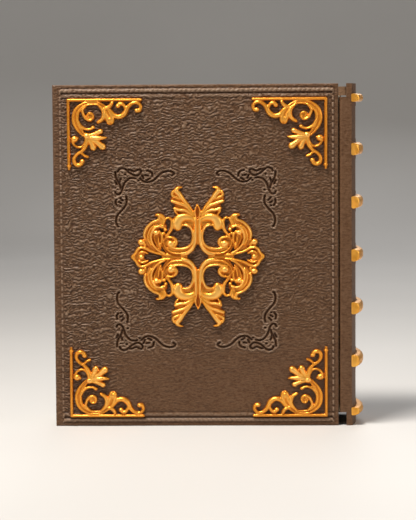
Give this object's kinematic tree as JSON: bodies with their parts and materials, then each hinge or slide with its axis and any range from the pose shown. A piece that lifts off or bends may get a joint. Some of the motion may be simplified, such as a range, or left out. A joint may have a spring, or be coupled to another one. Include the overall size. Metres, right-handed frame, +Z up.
{
  "type": "book cryptex",
  "caption": "Hollow book puzzle box with gilt corner ornaments, raised spine bands and rotating letter rings in the spine that free a bolt bar so the front cover can open.",
  "frame": {"origin": "centre of the footprint, on the surface the book stands on", "axes": "+Z up the spine from tail to head, +X from the fore edge towards the spine, -Y out of the fixed back cover, +Y out of the hinged front cover"},
  "size_m": [0.1906, 0.052, 0.21],
  "materials": {
    "cover_leather": "matt brown, moulded leather grain",
    "gilt_trim": "silk gold",
    "page_paper": "matt ivory, ribbed like page edges",
    "felt_red": "short felt",
    "ring_dark": "satin dark brown with gold letters",
    "brass_part": "turned",
    "steel_part": "brushed",
    "spring_steel": "blued spring strip"
  },
  "bodies": {
    "case": {"back_cover": "cover_leather", "back_corner_1": "gilt_trim", "back_corner_2": "gilt_trim", "back_corner_3": "gilt_trim", "back_corner_4": "gilt_trim", "back_medallion": "gilt_trim", "page_block": "page_paper", "felt_liner": "felt_red", "spine_shell": "cover_leather", "raised_band_1": "gilt_trim", "raised_band_2": "gilt_trim", "raised_band_3": "gilt_trim", "raised_band_4": "gilt_trim", "raised_band_5": "gilt_trim", "raised_band_6": "gilt_trim", "raised_band_7": "gilt_trim", "index_marks": "gilt_trim", "guide_tube": "steel_part", "spacer_sleeves": "brass_part", "click_springs": "spring_steel", "access_plate": "steel_part", "access_screws": "brass_part", "cover_screws": "steel_part", "hinge_pin_top": "steel_part", "hinge_pin_bottom": "steel_part"},
    "ring_1": {"letter_ring_1": "ring_dark", "lock_disc_1": "brass_part"},
    "ring_2": {"letter_ring_2": "ring_dark", "lock_disc_2": "brass_part"},
    "ring_3": {"letter_ring_3": "ring_dark", "lock_disc_3": "brass_part"},
    "ring_4": {"letter_ring_4": "ring_dark", "lock_disc_4": "brass_part"},
    "ring_5": {"letter_ring_5": "ring_dark", "lock_disc_5": "brass_part"},
    "ring_6": {"letter_ring_6": "ring_dark", "lock_disc_6": "brass_part"},
    "lock_slider": {"spindle": "steel_part", "lock_bar": "steel_part", "lock_bolts": "brass_part", "push_button": "brass_part"},
    "cover": {"front_cover": "cover_leather", "front_corner_1": "gilt_trim", "front_corner_2": "gilt_trim", "front_corner_3": "gilt_trim", "front_corner_4": "gilt_trim", "front_medallion": "gilt_trim", "lock_staple_1": "steel_part", "lock_staple_2": "steel_part", "lock_staple_3": "steel_part", "staple_screws": "brass_part"}
  },
  "joints": [
    {"name": "ring_1_turn", "type": "hinge", "parent": "case", "child": "ring_1", "pos_m": [0.0733, 0, 0.02375], "axis": [0, 0, 1], "continuous": true},
    {"name": "ring_2_turn", "type": "hinge", "parent": "case", "child": "ring_2", "pos_m": [0.0733, 0, 0.05625], "axis": [0, 0, 1], "continuous": true},
    {"name": "ring_3_turn", "type": "hinge", "parent": "case", "child": "ring_3", "pos_m": [0.0733, 0, 0.08875], "axis": [0, 0, 1], "continuous": true},
    {"name": "ring_4_turn", "type": "hinge", "parent": "case", "child": "ring_4", "pos_m": [0.0733, 0, 0.12125], "axis": [0, 0, 1], "continuous": true},
    {"name": "ring_5_turn", "type": "hinge", "parent": "case", "child": "ring_5", "pos_m": [0.0733, 0, 0.15375], "axis": [0, 0, 1], "continuous": true},
    {"name": "ring_6_turn", "type": "hinge", "parent": "case", "child": "ring_6", "pos_m": [0.0733, 0, 0.18625], "axis": [0, 0, 1], "continuous": true},
    {"name": "lock_slide", "type": "slide", "parent": "case", "child": "lock_slider", "axis": [0, 0, 1], "range_m": [0, 0.008]},
    {"name": "cover_hinge", "type": "hinge", "parent": "case", "child": "cover", "pos_m": [0.0817, 0.0211, 0.105], "axis": [0, 0, -1], "range_deg": [0, 100]}
  ]
}
